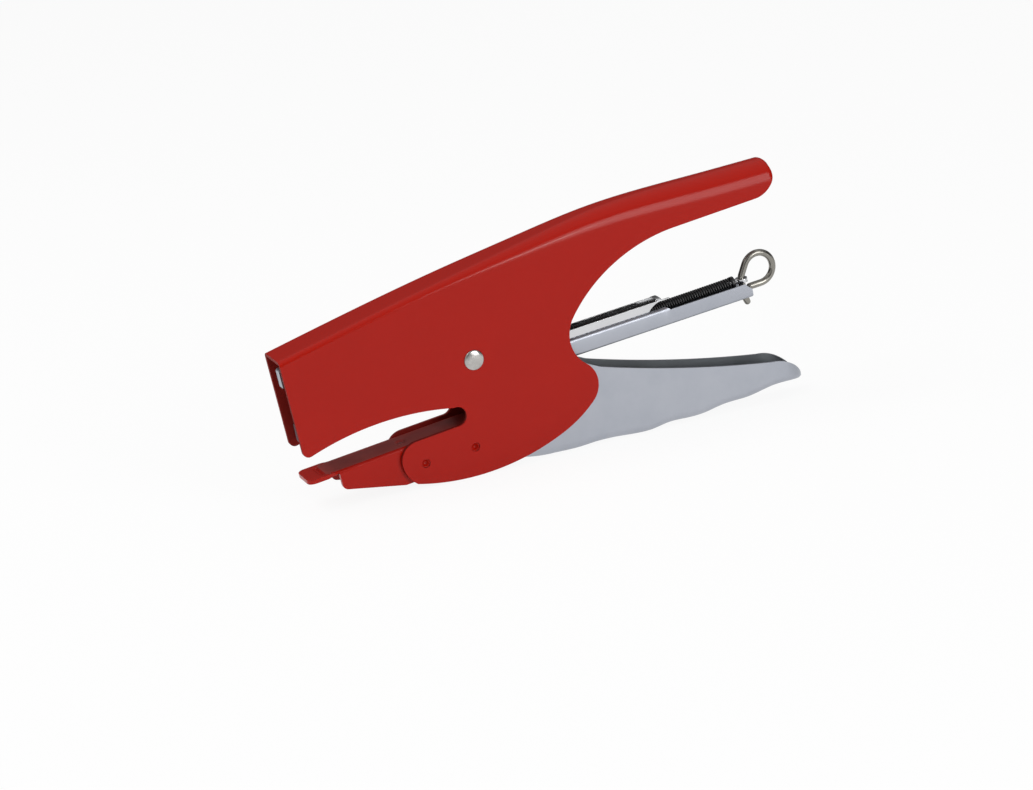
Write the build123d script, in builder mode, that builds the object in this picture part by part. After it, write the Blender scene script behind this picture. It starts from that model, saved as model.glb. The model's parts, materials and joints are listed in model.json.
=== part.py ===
"""Hand plier stapler: a pressed housing with a fixed anvil arm, a swinging magazine and a squeeze lever.

Millimetres. +X runs back along the tool, +Y across it and +Z up. The origin is at table height, under the
middle of the tool as it stands on the belly of its housing and on its lever.
"""
import os
from math import cos, radians, sin, sqrt

from build123d import *

os.makedirs("parts", exist_ok=True)

# Standing pose
TILT = 6.765  # the anvil face leans nose-down by this angle as the tool stands
PIVOT_X = -23.53
PIVOT_Z = 33.888

# Pressed housing, seen from the side: distances behind and above the pivot
BODY_WIDTH = 13.4
SHEET = 1.2
NOSE_REACH = 54.5
NOSE_TOP = 17.8
NOSE_TIP = -10.8
NOSE_ROUND = 1.5  # spine corner at the nose
PIVOT_TOP = 25.0
PIVOT_ROUND = 2.0
NECK_REACH = 23.0
NECK_TOP = 27.3
NECK_ROUND = 2.9
CREST_REACH = 46.0
CREST_TOP = 29.2
CREST_ROUND = 4.4
HANDLE_MID_REACH = 80.0
HANDLE_MID_TOP = 28.0
HANDLE_ROUND = 6.2  # spine corner on the handle: nearly half the width
HANDLE_REACH = 101.3
HANDLE_TOP = 26.8
HANDLE_UNDER = 17.5
END_ROUND = 1.7
HANDLE_CORNER = 7.6
UNDER_REACH = 68.0  # where the handle's underside runs level
NOSE_CORNER = 1.4
JAW_ARCH = -8.3  # crown of the upper jaw's lower edge
JAW_ARCH_REACH = 29.2
THROAT_REACH = 5.9  # the throat's closed end, ahead of the pivot
THROAT_DROP = 14.7
THROAT_ROUND = 3.2
LAP_REACH = 27.6  # front of the lap over the anvil arm
LAP_DROP = 17.2  # its top edge stands a little above the anvil face
LAP_ROUND = 5.4
BELLY_FRONT = (-24.6, -29.4)
BELLY_LOW = (-1.0, -33.5)
BELLY_REAR = (21.0, -29.9)
REAR_EDGE = [(31.9, -24.0), (32.4, -12.5), (31.8, 2.2), (45.9, 12.7)]  # where its arcs meet

# Anvil arm, nested between the side plates
ARM_CLEAR = 0.05
ANVIL_DROP = 18.05  # pivot down to the anvil face
ANVIL_REACH = 54.7
ARM_WALL_REACH = 45.5
ARM_WALL_DEPTH = 5.7
ARM_WALL_SLOPE = 0.29  # its lower edge falls this much per millimetre back to the lap
ARM_WALL_CORNER = 1.8
ARM_REAR = 1.6  # rear end of the arm, ahead of the pivot
TONGUE_CORNER = 2.2
GROOVE_REACH = 50.0
GROOVE_LENGTH = 7.0
GROOVE_WIDTH = 1.3
GROOVE_DEPTH = 0.5
ARM_HOLE_REACH = 24.9
ARM_HOLE_RADIUS = 0.8
RIVET_RADIUS = 1.3
RIVET_SPOTS = [(-20.9, -24.3), (-5.6, -24.8)]
RIVET_SINK = 0.25

# Pivot
PIN_RADIUS = 1.5
PIN_HEAD_RADIUS = 3.0
PIN_HEAD_RISE = 0.8
DOME_STEPS = 2
SLEEVE_RADIUS = 2.0
PIN_FIT = 0.02
RUNNING_FIT = 0.05

# Magazine: its own frame turns on the pivot, nose up from the anvil
MAG_RISE = 1.2
MAG_BOTTOM = -9.9
MAG_HEIGHT = 5.35
MAG_SHEET = 0.6
MAG_WIDTH = 7.7
MAG_FRONT = 50.4
MAG_LIP = 0.45  # how far the lips overhang the staple track
LIPS_END = 61.5
TAIL_OVERHANG = 1.3  # how far the tail runs past the ring's leg
TAIL_HEIGHT = 4.45
TAIL_CHAMFER = 2.0
EAR_HALF_BASE = 8.0
EAR_ROUND = 4.2
NOSE_PLATE = 0.6
NOSE_PLATE_RETURN = 5.5  # length of its side flanges
NOSE_PLATE_TOP = -5.0

# Driver blade
DRIVER_THICK = 0.8
DRIVER_WIDTH = 6.4
DRIVER_SLIP = 0.25
DRIVER_REST = -5.5
DRIVER_TOP = 14.9

# Staple pusher and its guide
PUSHER_SHEET = 0.4
PUSHER_SLIP = 0.15
PUSHER_TOP = -2.2
PUSHER_FRONT = 50.1
PUSHER_REAR = 59.5
PUSHER_STRAP = 4.5
STRAP_OVERRUN = 2.0
PUSHER_HEAD = 4.0
ROD_RADIUS = 0.9
ROD_LINE = -5.1
ROD_FRONT = 20.0
SPRING_RADIUS = 1.75  # middle of the wire
SPRING_WIRE = 0.6
SPRING_TURNS = 16
COLLAR_RADIUS = 1.9
COLLAR_AHEAD = 3.6  # the collar sits this far ahead of the ring's leg
COLLAR_LENGTH = 1.0
EYE_RADIUS = 1.8
EYE_THICK = 1.2
RING_RADIUS = 1.0  # of the ring's wire
LEG_REACH = 87.2
LOOP_BEHIND = 5.9  # centre of the loop behind the leg
LOOP_DROP = 3.2
LOOP_RADIUS = 4.6
LOOP_TANGENT = 149.0
LEG_KNEE = 4.2
FOOT_DROP = 12.9
FOOT_KICK = 0.9
WIRE_BEND = 1.5
WIRE_FACETS = 6

# Spring seats over the pusher
SEAT_LENGTH = 10.0
SEAT_SHEET = 0.6
SEAT_WIDTH = 7.0
SEAT_GAP = 0.35
CLAMP_REACH = 30.0
RETURN_REACH = 16.0
CLAMP_RADIUS = 2.4
CLAMP_TURNS = 5
RETURN_RADIUS = 3.1
RETURN_TURNS = 7
COIL_WIRE = 0.8
SPRING_HEADROOM = 0.6
COIL_STEPS = 8  # straight pieces in a turn

# Squeeze lever
LEVER_SHEET = 0.8
LEVER_SLIP = 0.25
LEVER_TIP_REACH = 99.2
LEVER_TIP_DROP = 41.6
WAVE_LENGTH = 86.3  # heel to tip, as the wave below is drawn
GRIP_WAVE = [  # the underside's hollows and finger lobes, behind the heel
    (6.6, -36.25),
    (12.6, -36.95),
    (18.1, -37.2),
    (24.1, -37.9),
    (30.1, -39.05),
    (36.1, -39.65),
    (41.1, -39.4),
    (46.6, -40.05),
    (52.1, -40.5),
    (59.1, -40.05),
    (67.1, -40.5),
    (75.6, -39.9),
    (81.1, -40.4),
]
LEVER_EDGE_ROUND = 1.8
LEVER_BOW = 5.6  # plan radius of the rounded tail
TAIL_DIP = 0.3  # slope of the underside at the tail
LEVER_FOOT = (3.0, -32.6)  # front end of the underside, hidden by the housing
LEVER_HEEL = (12.9, -35.2)  # where it comes out
RIM_FRONT = (36.7, -15.4)
RIM_MID = (63.6, -25.2)
RIM_REAR_AHEAD = 10.1  # where the rim begins to turn down, from the tip
RIM_REAR_RISE = 9.2
RIM_CURVE_AHEAD = 3.6
RIM_CURVE_RISE = 6.3
HUB_ROUND = 6.2
HUB_REAR = (4.4, 4.4)
HUB_FRONT = (-4.8, -3.6)
FORK_REACH = 46.5
FORK_TOP = 14.5
FORK_HEIGHT = 6.0
WEB_REAR = 12.0
WEB_REAR_TOP = 8.0
TONGUE_REACH = 53.9
TONGUE_WIDTH = 3.0
TONGUE_SLIP = 0.25
HOOK_DEPTH = 5.5

OVERRUN = 2.5  # how far cutting forms run past what they cut
SPINE_STRIPS = 5  # strips round a corner of the spine
LEVER_STRIPS = 3  # strips round a lower corner of the lever
END_STEPS = 3  # sections round the handle's end

# Values that follow
PIVOT = Vector(PIVOT_X, 0, PIVOT_Z)
HALF_BODY = BODY_WIDTH / 2
HALF_INSIDE = HALF_BODY - SHEET
ARM_HALF = HALF_INSIDE - ARM_CLEAR
LEVER_HALF = HALF_INSIDE - LEVER_SLIP
MAG_HALF = MAG_WIDTH / 2
MAG_INSIDE = MAG_HALF - MAG_SHEET
MAG_FLOOR = MAG_BOTTOM + MAG_SHEET
MAG_TOP = MAG_BOTTOM + MAG_HEIGHT
LIP_HALF = MAG_INSIDE - MAG_LIP
PUSHER_HALF = LIP_HALF - PUSHER_SLIP
PUSHER_BOTTOM = MAG_FLOOR + PUSHER_SLIP
DRIVER_BACK = -MAG_FRONT - DRIVER_SLIP
DRIVER_FRONT = DRIVER_BACK - DRIVER_THICK
PLATE_BACK = DRIVER_FRONT - DRIVER_SLIP
SEAT_TOP = PUSHER_TOP + SEAT_GAP + SEAT_SHEET
TAIL_END = LEG_REACH + TAIL_OVERHANG
COLLAR_REACH = LEG_REACH - COLLAR_AHEAD
LOOP_REACH = LEG_REACH + LOOP_BEHIND


def side_plane(angle):
    """Plane through the pivot: X back along the tool at this angle above the table, Y up the tool."""
    lean = radians(angle)
    return Plane(PIVOT, x_dir=(cos(lean), 0, sin(lean)), z_dir=(0, -1, 0))


SIDE = side_plane(TILT)
MAG = side_plane(TILT - MAG_RISE)


def plan_plane(side, height=0):
    """Plane seen from above, at a height over the pivot: X back along the tool, Y across it."""
    return Plane(side.from_local_coords((0, height, 0)), x_dir=side.x_dir, z_dir=side.y_dir)


def cross_plane(side, reach):
    """Plane across the tool at a distance behind the pivot: X across, Y up the tool."""
    return Plane(side.from_local_coords((reach, 0, 0)), x_dir=(0, 1, 0), z_dir=side.x_dir)


def quarter_turn(steps):
    """Angles from 0 to 90 degrees in even steps."""
    return [radians(90 * step / steps) for step in range(steps + 1)]


def crowned_section(plane, half, base, crown, corner, strips):
    """Section across the tool: square at its base, its two crown corners rounded off in narrow strips."""
    toward = 1 if crown > base else -1
    shoulder = [
        (half - corner + corner * cos(turn), crown + toward * corner * (sin(turn) - 1))
        for turn in quarter_turn(strips)
    ]
    with BuildSketch(plane) as section:
        with BuildLine():
            Polyline(
                (half, base),
                *shoulder,
                *[(-across, up) for across, up in reversed(shoulder)],
                (-half, base),
                close=True,
            )
        make_face()
    return section.sketch


# Body housing: one pressed sheet, square-shouldered at the nose and round on the handle
def pressed_section(reach, top, corner, inset):
    """Section of the pressing, inset by a wall."""
    return crowned_section(
        cross_plane(SIDE, reach),
        HALF_BODY - inset,
        BELLY_LOW[1] - OVERRUN,
        top - inset,
        corner - inset,
        SPINE_STRIPS,
    )


def pressed_form(inset):
    """Solid form of the pressing, inset by a wall: its spine corners open out from nose to handle."""
    cap_start = HANDLE_REACH - END_ROUND
    stations = [
        (-NOSE_REACH - OVERRUN, NOSE_TOP, NOSE_ROUND),
        (0, PIVOT_TOP, PIVOT_ROUND),
        (NECK_REACH, NECK_TOP, NECK_ROUND),
        (CREST_REACH, CREST_TOP, CREST_ROUND),
        (HANDLE_MID_REACH, HANDLE_MID_TOP, HANDLE_ROUND),
        (cap_start, HANDLE_TOP, HANDLE_ROUND),
    ]
    cap = END_ROUND - inset
    with BuildPart() as form:
        loft([pressed_section(reach, top, corner, inset) for reach, top, corner in stations])
        loft(
            [
                pressed_section(
                    cap_start + cap * sin(turn), HANDLE_TOP, HANDLE_ROUND, inset + cap * (1 - cos(turn))
                )
                for turn in quarter_turn(END_STEPS)
            ]
        )
    with BuildPart() as plates:
        with BuildSketch(SIDE):
            Rectangle(2 * HANDLE_REACH + OVERRUN, 2 * HANDLE_REACH)
        extrude(amount=HALF_BODY - inset, both=True)
        add(form.part, mode=Mode.INTERSECT)
    return plates.part


with BuildPart() as body_housing:
    with BuildSketch(SIDE):
        with BuildLine():
            above = CREST_TOP + OVERRUN
            nose_corner = (-NOSE_REACH, NOSE_TIP + NOSE_CORNER)
            jaw_front = (-NOSE_REACH + 2 * NOSE_CORNER, NOSE_TIP)
            throat_high = (-THROAT_REACH - THROAT_ROUND, -THROAT_DROP + THROAT_ROUND)
            throat_low = (-THROAT_REACH - THROAT_ROUND, -LAP_DROP)
            lap_high = (-LAP_REACH + LAP_ROUND, throat_low[1])
            lap_low = (-LAP_REACH, throat_low[1] - LAP_ROUND)
            handle_low = (HANDLE_REACH - HANDLE_CORNER, HANDLE_UNDER)
            Line((-NOSE_REACH, above), nose_corner)
            TangentArc(nose_corner, jaw_front, tangent=(0, -1))
            ThreePointArc(jaw_front, (-JAW_ARCH_REACH, JAW_ARCH), throat_high)
            ThreePointArc(throat_high, (-THROAT_REACH, -THROAT_DROP), throat_low)
            Line(throat_low, lap_high)
            TangentArc(lap_high, lap_low, tangent=(-1, 0))
            TangentArc(lap_low, BELLY_FRONT, tangent=(0, -1))
            edge = ThreePointArc(BELLY_FRONT, BELLY_LOW, BELLY_REAR)
            for point in [*REAR_EDGE, (UNDER_REACH, HANDLE_UNDER)]:
                edge = TangentArc(edge @ 1, point, tangent=edge % 1)
            Line((UNDER_REACH, HANDLE_UNDER), handle_low)
            TangentArc(handle_low, (HANDLE_REACH, HANDLE_UNDER + HANDLE_CORNER), tangent=(1, 0))
            Polyline(
                (HANDLE_REACH, HANDLE_UNDER + HANDLE_CORNER),
                (HANDLE_REACH, above),
                (-NOSE_REACH, above),
            )
        make_face()
    extrude(amount=HALF_BODY, both=True)
    add(pressed_form(0), mode=Mode.INTERSECT)
    add(pressed_form(SHEET), mode=Mode.SUBTRACT)
    with BuildSketch(SIDE):
        with Locations(*RIVET_SPOTS):
            Circle(RIVET_RADIUS + PIN_FIT)
        Circle(PIN_RADIUS + PIN_FIT)
    extrude(amount=HALF_BODY, both=True, mode=Mode.SUBTRACT)
body_housing.part.label = "body_housing"
export_step(body_housing.part, "parts/body_housing.step")


# Anvil arm: an inverted channel that runs out into a flat tongue
with BuildPart() as anvil_arm:
    wall_low = -ANVIL_DROP - ARM_WALL_DEPTH
    run = ARM_WALL_REACH - LAP_REACH
    lap_low = wall_low - ARM_WALL_SLOPE * run
    with BuildSketch(SIDE):
        with BuildLine():
            FilletPolyline(
                (-ARM_WALL_REACH, -ANVIL_DROP),
                (-ARM_WALL_REACH, wall_low),
                (-LAP_REACH, lap_low),
                (-ARM_REAR, lap_low),
                radius=ARM_WALL_CORNER,
            )
            Polyline((-ARM_REAR, lap_low), (-ARM_REAR, -ANVIL_DROP), (-ARM_WALL_REACH, -ANVIL_DROP))
        make_face()
    extrude(amount=ARM_HALF, both=True)
    with BuildSketch(plan_plane(SIDE, -ANVIL_DROP - SHEET)):
        with Locations((-ARM_WALL_REACH - OVERRUN, 0)):
            Rectangle(
                ARM_WALL_REACH + 2 * OVERRUN,
                2 * (ARM_HALF - SHEET),
                align=(Align.MIN, Align.CENTER),
            )
    extrude(amount=-2 * ANVIL_DROP, mode=Mode.SUBTRACT)
    with BuildSketch(plan_plane(SIDE, -ANVIL_DROP)) as tongue:
        with Locations((-ANVIL_REACH, 0)):
            Rectangle(
                ANVIL_REACH - ARM_WALL_REACH + SHEET, 2 * ARM_HALF, align=(Align.MIN, Align.CENTER)
            )
        fillet(tongue.vertices().group_by(Axis.X)[0], TONGUE_CORNER)
    extrude(amount=-SHEET)
    with BuildSketch(plan_plane(SIDE, -ANVIL_DROP)):
        with Locations((-GROOVE_REACH, 0)):
            SlotOverall(GROOVE_LENGTH, GROOVE_WIDTH, rotation=90)
    extrude(amount=-GROOVE_DEPTH, mode=Mode.SUBTRACT)
    with BuildSketch(plan_plane(SIDE, -ANVIL_DROP)):
        with Locations((-ARM_HOLE_REACH, 0)):
            Circle(ARM_HOLE_RADIUS)
    extrude(amount=-SHEET, mode=Mode.SUBTRACT)
    with BuildSketch(SIDE):
        with Locations(*RIVET_SPOTS):
            Circle(RIVET_RADIUS + PIN_FIT)
    extrude(amount=HALF_BODY, both=True, mode=Mode.SUBTRACT)
anvil_arm.part.label = "anvil_arm"
export_step(anvil_arm.part, "parts/anvil_arm.step")

# Two rivets hold the arm; their ends lie a little below the plates
with BuildPart() as anvil_rivets:
    with BuildSketch(SIDE):
        with Locations(*RIVET_SPOTS):
            Circle(RIVET_RADIUS)
    extrude(amount=HALF_BODY - RIVET_SINK, both=True)
anvil_rivets.part.label = "anvil_rivets"
export_step(anvil_rivets.part, "parts/anvil_rivets.step")

# Pivot rivet with a domed head on each side, and the sleeve that keeps the plates apart on it
with BuildPart() as pivot_rivet:
    with BuildSketch(plan_plane(SIDE)):
        with BuildLine():
            dome = [
                (PIN_HEAD_RADIUS * cos(turn), HALF_BODY + PIN_HEAD_RISE * sin(turn))
                for turn in quarter_turn(DOME_STEPS)
            ]
            Polyline((0, 0), (PIN_RADIUS, 0), (PIN_RADIUS, HALF_BODY), *dome, close=True)
        make_face()
    revolve(axis=Axis(PIVOT, (0, 1, 0)))
    mirror(about=Plane.XZ)
pivot_rivet.part.label = "pivot_rivet"
export_step(pivot_rivet.part, "parts/pivot_rivet.step")

with BuildPart() as pivot_sleeve:
    with BuildSketch(SIDE):
        Circle(SLEEVE_RADIUS)
        Circle(PIN_RADIUS + PIN_FIT, mode=Mode.SUBTRACT)
    extrude(amount=HALF_INSIDE, both=True)
pivot_sleeve.part.label = "pivot_sleeve"
export_step(pivot_sleeve.part, "parts/pivot_sleeve.step")

# Magazine channel: lips over the staple track, ears on the pivot, a lower open tail
with BuildPart() as magazine_channel:
    with BuildSketch(cross_plane(MAG, -MAG_FRONT)):
        with Locations((0, MAG_BOTTOM)):
            Rectangle(MAG_WIDTH, MAG_HEIGHT, align=(Align.CENTER, Align.MIN))
        with Locations((0, MAG_FLOOR)):
            Rectangle(
                2 * MAG_INSIDE,
                MAG_HEIGHT - 2 * MAG_SHEET,
                align=(Align.CENTER, Align.MIN),
                mode=Mode.SUBTRACT,
            )
            Rectangle(2 * LIP_HALF, MAG_HEIGHT, align=(Align.CENTER, Align.MIN), mode=Mode.SUBTRACT)
    extrude(amount=MAG_FRONT + LIPS_END)
    with BuildSketch(MAG):
        with BuildLine():
            Polyline(
                (LIPS_END, MAG_BOTTOM),
                (TAIL_END, MAG_BOTTOM),
                (TAIL_END, MAG_BOTTOM + TAIL_HEIGHT - TAIL_CHAMFER),
                (TAIL_END - TAIL_CHAMFER, MAG_BOTTOM + TAIL_HEIGHT),
                (LIPS_END, MAG_BOTTOM + TAIL_HEIGHT),
                close=True,
            )
        make_face()
    extrude(amount=MAG_HALF, both=True)
    with BuildSketch(MAG):
        with BuildLine():
            Polyline((EAR_HALF_BASE, MAG_TOP), (-EAR_HALF_BASE, MAG_TOP), (-EAR_ROUND, 0))
            ThreePointArc((-EAR_ROUND, 0), (0, EAR_ROUND), (EAR_ROUND, 0))
            Line((EAR_ROUND, 0), (EAR_HALF_BASE, MAG_TOP))
        make_face()
        Circle(SLEEVE_RADIUS + RUNNING_FIT, mode=Mode.SUBTRACT)
    extrude(amount=MAG_HALF, both=True)
    with BuildSketch(MAG):
        with Locations((LIPS_END, MAG_FLOOR)):
            Rectangle(TAIL_END, TAIL_HEIGHT, align=Align.MIN)
        with Locations((0, MAG_TOP)):
            Rectangle(2 * EAR_HALF_BASE, 2 * EAR_HALF_BASE, align=(Align.CENTER, Align.MIN))
    extrude(amount=MAG_INSIDE, both=True, mode=Mode.SUBTRACT)
    with BuildSketch(plan_plane(MAG, MAG_BOTTOM)):
        with Locations((LEG_REACH, 0)):
            Circle(RING_RADIUS + PUSHER_SLIP)
            Rectangle(TAIL_END, 2 * (RING_RADIUS + PUSHER_SLIP), align=(Align.MIN, Align.CENTER))
    extrude(amount=MAG_SHEET, mode=Mode.SUBTRACT)
magazine_channel.part.label = "magazine_channel"
export_step(magazine_channel.part, "parts/magazine_channel.step")

# Nose plate: closes the magazine's front and guides the driver
with BuildPart() as nose_plate:
    with BuildSketch(plan_plane(MAG, MAG_BOTTOM)):
        plate_half = MAG_HALF + PIN_FIT + NOSE_PLATE
        with Locations((PLATE_BACK - NOSE_PLATE, 0)):
            Rectangle(
                NOSE_PLATE + NOSE_PLATE_RETURN, 2 * plate_half, align=(Align.MIN, Align.CENTER)
            )
        with Locations((PLATE_BACK, 0)):
            Rectangle(
                NOSE_PLATE_RETURN,
                2 * (MAG_HALF + PIN_FIT),
                align=(Align.MIN, Align.CENTER),
                mode=Mode.SUBTRACT,
            )
    extrude(amount=NOSE_PLATE_TOP - MAG_BOTTOM)
nose_plate.part.label = "nose_plate"
export_step(nose_plate.part, "parts/nose_plate.step")


# Spring seats: straps that stand on the lips and bridge the pusher
def spring_seat(reach):
    """Strap across the magazine, centred at a distance behind the pivot."""
    with BuildPart() as seat:
        with BuildSketch(cross_plane(MAG, reach)):
            with Locations((0, MAG_TOP)):
                Rectangle(SEAT_WIDTH, SEAT_TOP - MAG_TOP, align=(Align.CENTER, Align.MIN))
                Rectangle(
                    SEAT_WIDTH - 2 * SEAT_SHEET,
                    SEAT_TOP - MAG_TOP - SEAT_SHEET,
                    align=(Align.CENTER, Align.MIN),
                    mode=Mode.SUBTRACT,
                )
        extrude(amount=SEAT_LENGTH / 2, both=True)
    return seat


front_seat = spring_seat(-CLAMP_REACH)
front_seat.part.label = "front_spring_seat"
export_step(front_seat.part, "parts/front_spring_seat.step")
rear_seat = spring_seat(RETURN_REACH)
rear_seat.part.label = "rear_spring_seat"
export_step(rear_seat.part, "parts/rear_spring_seat.step")


def on_magazine(reach, rise):
    """A point of the side view, in the magazine's own frame."""
    return MAG.to_local_coords(SIDE.from_local_coords((reach, rise, 0)))


# Driver blade: hangs on the lever's tongue by its window
with BuildPart() as driver_blade:
    hang = on_magazine(DRIVER_BACK - DRIVER_THICK / 2, FORK_TOP - LEVER_SHEET / 2).Y
    with BuildSketch(cross_plane(MAG, DRIVER_FRONT)):
        with Locations((0, DRIVER_REST)):
            Rectangle(DRIVER_WIDTH, DRIVER_TOP - DRIVER_REST, align=(Align.CENTER, Align.MIN))
        with Locations((0, hang)):
            Rectangle(
                TONGUE_WIDTH + 2 * TONGUE_SLIP,
                LEVER_SHEET + 2 * TONGUE_SLIP,
                mode=Mode.SUBTRACT,
            )
    extrude(amount=DRIVER_THICK)
driver_blade.part.label = "driver_blade"
export_step(driver_blade.part, "parts/driver_blade.step")

# Pusher: a plated trough that slides between the lips, strapped over at its rear end
with BuildPart() as pusher_trough:
    inside = PUSHER_HALF - PUSHER_SHEET
    with BuildSketch(cross_plane(MAG, -PUSHER_FRONT)):
        with Locations((0, PUSHER_BOTTOM)):
            Rectangle(2 * PUSHER_HALF, PUSHER_TOP - PUSHER_BOTTOM, align=(Align.CENTER, Align.MIN))
        with Locations((0, PUSHER_BOTTOM + PUSHER_SHEET)):
            Rectangle(
                2 * inside,
                PUSHER_TOP - PUSHER_BOTTOM,
                align=(Align.CENTER, Align.MIN),
                mode=Mode.SUBTRACT,
            )
    extrude(amount=PUSHER_FRONT + PUSHER_REAR)
    with BuildSketch(plan_plane(MAG, PUSHER_TOP)):
        with Locations((PUSHER_REAR + STRAP_OVERRUN, 0)):
            Rectangle(PUSHER_STRAP, 2 * inside, align=(Align.MAX, Align.CENTER))
    extrude(amount=-PUSHER_SHEET)
pusher_trough.part.label = "pusher_trough"
export_step(pusher_trough.part, "parts/pusher_trough.step")

with BuildPart() as pusher_head:
    with BuildSketch(cross_plane(MAG, -PUSHER_FRONT)):
        with Locations((0, PUSHER_BOTTOM + PUSHER_SHEET)):
            Rectangle(
                2 * inside,
                PUSHER_TOP - PUSHER_BOTTOM - PUSHER_SHEET,
                align=(Align.CENTER, Align.MIN),
            )
    extrude(amount=PUSHER_HEAD)
pusher_head.part.label = "pusher_head"
export_step(pusher_head.part, "parts/pusher_head.step")


# Coil springs, of square wire in short straight pieces
def coil(plane, length, radius, wire, turns):
    """Helix of wire that stands on a plane, along its normal."""
    steps = turns * COIL_STEPS
    rise = (length - wire) / steps
    helix = [
        Vector(radius, 0, rise * step).rotate(Axis.Z, 360 * step / COIL_STEPS)
        for step in range(steps + 1)
    ]
    with BuildPart() as spring:
        with BuildLine() as path:
            Polyline(*[plane.from_local_coords(point) for point in helix])
        with BuildSketch(Plane(path.line @ 0, z_dir=path.line % 0, x_dir=plane.z_dir)):
            Rectangle(wire, wire)
        sweep(transition=Transition.RIGHT)
    return spring


spring_front = -PUSHER_FRONT + PUSHER_HEAD + PIN_FIT + SPRING_WIRE / 2
spring_seat_plane = Plane(
    MAG.from_local_coords((spring_front, ROD_LINE, 0)), x_dir=(0, 1, 0), z_dir=MAG.x_dir
)
pusher_spring = coil(
    spring_seat_plane,
    COLLAR_REACH - spring_front - PIN_FIT,
    SPRING_RADIUS,
    SPRING_WIRE,
    SPRING_TURNS,
)
pusher_spring.part.label = "pusher_spring"
export_step(pusher_spring.part, "parts/pusher_spring.step")

# Guide rod: runs through the pusher's spring and ends in an eye; the collar stops the spring
with BuildPart() as guide_rod:
    with BuildSketch(cross_plane(MAG, -ROD_FRONT)):
        with Locations((0, ROD_LINE)):
            Circle(ROD_RADIUS)
    extrude(amount=ROD_FRONT + LEG_REACH)
    with BuildSketch(plan_plane(MAG, ROD_LINE)):
        with Locations((LEG_REACH, 0)):
            Circle(EYE_RADIUS)
    extrude(amount=EYE_THICK / 2, both=True)
    with BuildSketch(plan_plane(MAG, ROD_LINE)):
        with Locations((LEG_REACH, 0)):
            Circle(RING_RADIUS + PIN_FIT)
    extrude(amount=EYE_THICK, both=True, mode=Mode.SUBTRACT)
guide_rod.part.label = "guide_rod"
export_step(guide_rod.part, "parts/guide_rod.step")

with BuildPart() as rod_collar:
    with BuildSketch(cross_plane(MAG, COLLAR_REACH)):
        with Locations((0, ROD_LINE)):
            Circle(COLLAR_RADIUS)
            Circle(ROD_RADIUS + PIN_FIT, mode=Mode.SUBTRACT)
    extrude(amount=COLLAR_LENGTH)
rod_collar.part.label = "rod_collar"
export_step(rod_collar.part, "parts/rod_collar.step")

# Pull ring: one bent wire whose leg drops through the rod's eye and the slot in the magazine's floor
with BuildPart() as pull_ring:
    with BuildLine(MAG) as wire:
        loop = CenterArc((LOOP_REACH, -LOOP_DROP), LOOP_RADIUS, -90, 90 + LOOP_TANGENT)
        Line((LEG_REACH + 2 * RING_RADIUS, -LOOP_DROP - LOOP_RADIUS), loop @ 0)
        FilletPolyline(
            loop @ 1,
            (LEG_REACH, -LEG_KNEE),
            (LEG_REACH, MAG_BOTTOM),
            (LEG_REACH + FOOT_KICK, -FOOT_DROP),
            radius=WIRE_BEND,
        )
    with BuildSketch(Plane(wire.line @ 0, z_dir=wire.line % 0)):
        RegularPolygon(RING_RADIUS, WIRE_FACETS)
    sweep()
pull_ring.part.label = "pull_ring"
export_step(pull_ring.part, "parts/pull_ring.step")


# Squeeze lever: a channel open upwards at the grip, a fork open downwards at the nose
def underside():
    """Points along the underside: its hidden front, its waved grip drawn out to the tip, then on past it."""
    front = [(-HUB_ROUND, LEVER_FOOT[1]), LEVER_FOOT, LEVER_HEEL]
    drawn_out = (LEVER_TIP_REACH - LEVER_HEEL[0]) / WAVE_LENGTH
    wave = [(LEVER_HEEL[0] + behind * drawn_out, low) for behind, low in GRIP_WAVE]
    tip = (LEVER_TIP_REACH, -LEVER_TIP_DROP)
    return front + wave + [tip, (LEVER_TIP_REACH + OVERRUN, -LEVER_TIP_DROP - TAIL_DIP * OVERRUN)]


def grip_form(inset):
    """Solid form of the grip, inset by a wall: lower corners that follow the underside, a bowed tail."""
    half = LEVER_HALF - inset
    bow = LEVER_BOW - inset
    corner = LEVER_EDGE_ROUND - inset
    with BuildPart() as form:
        with BuildSketch(plan_plane(SIDE, HUB_ROUND)):
            with Locations((LEVER_TIP_REACH - LEVER_BOW, 0)):
                Circle(bow)
                with Locations((sqrt(bow**2 - half**2), 0)):
                    Rectangle(2 * LEVER_TIP_REACH, 2 * half, align=(Align.MAX, Align.CENTER))
        extrude(amount=-2 * LEVER_TIP_DROP)
        loft(
            [
                crowned_section(cross_plane(SIDE, reach), half, HUB_ROUND, low + inset, corner, LEVER_STRIPS)
                for reach, low in underside()
            ],
            mode=Mode.INTERSECT,
        )
    return form.part


web_front = (-FORK_REACH, FORK_TOP)
web_rear = (-WEB_REAR, WEB_REAR_TOP)

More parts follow.
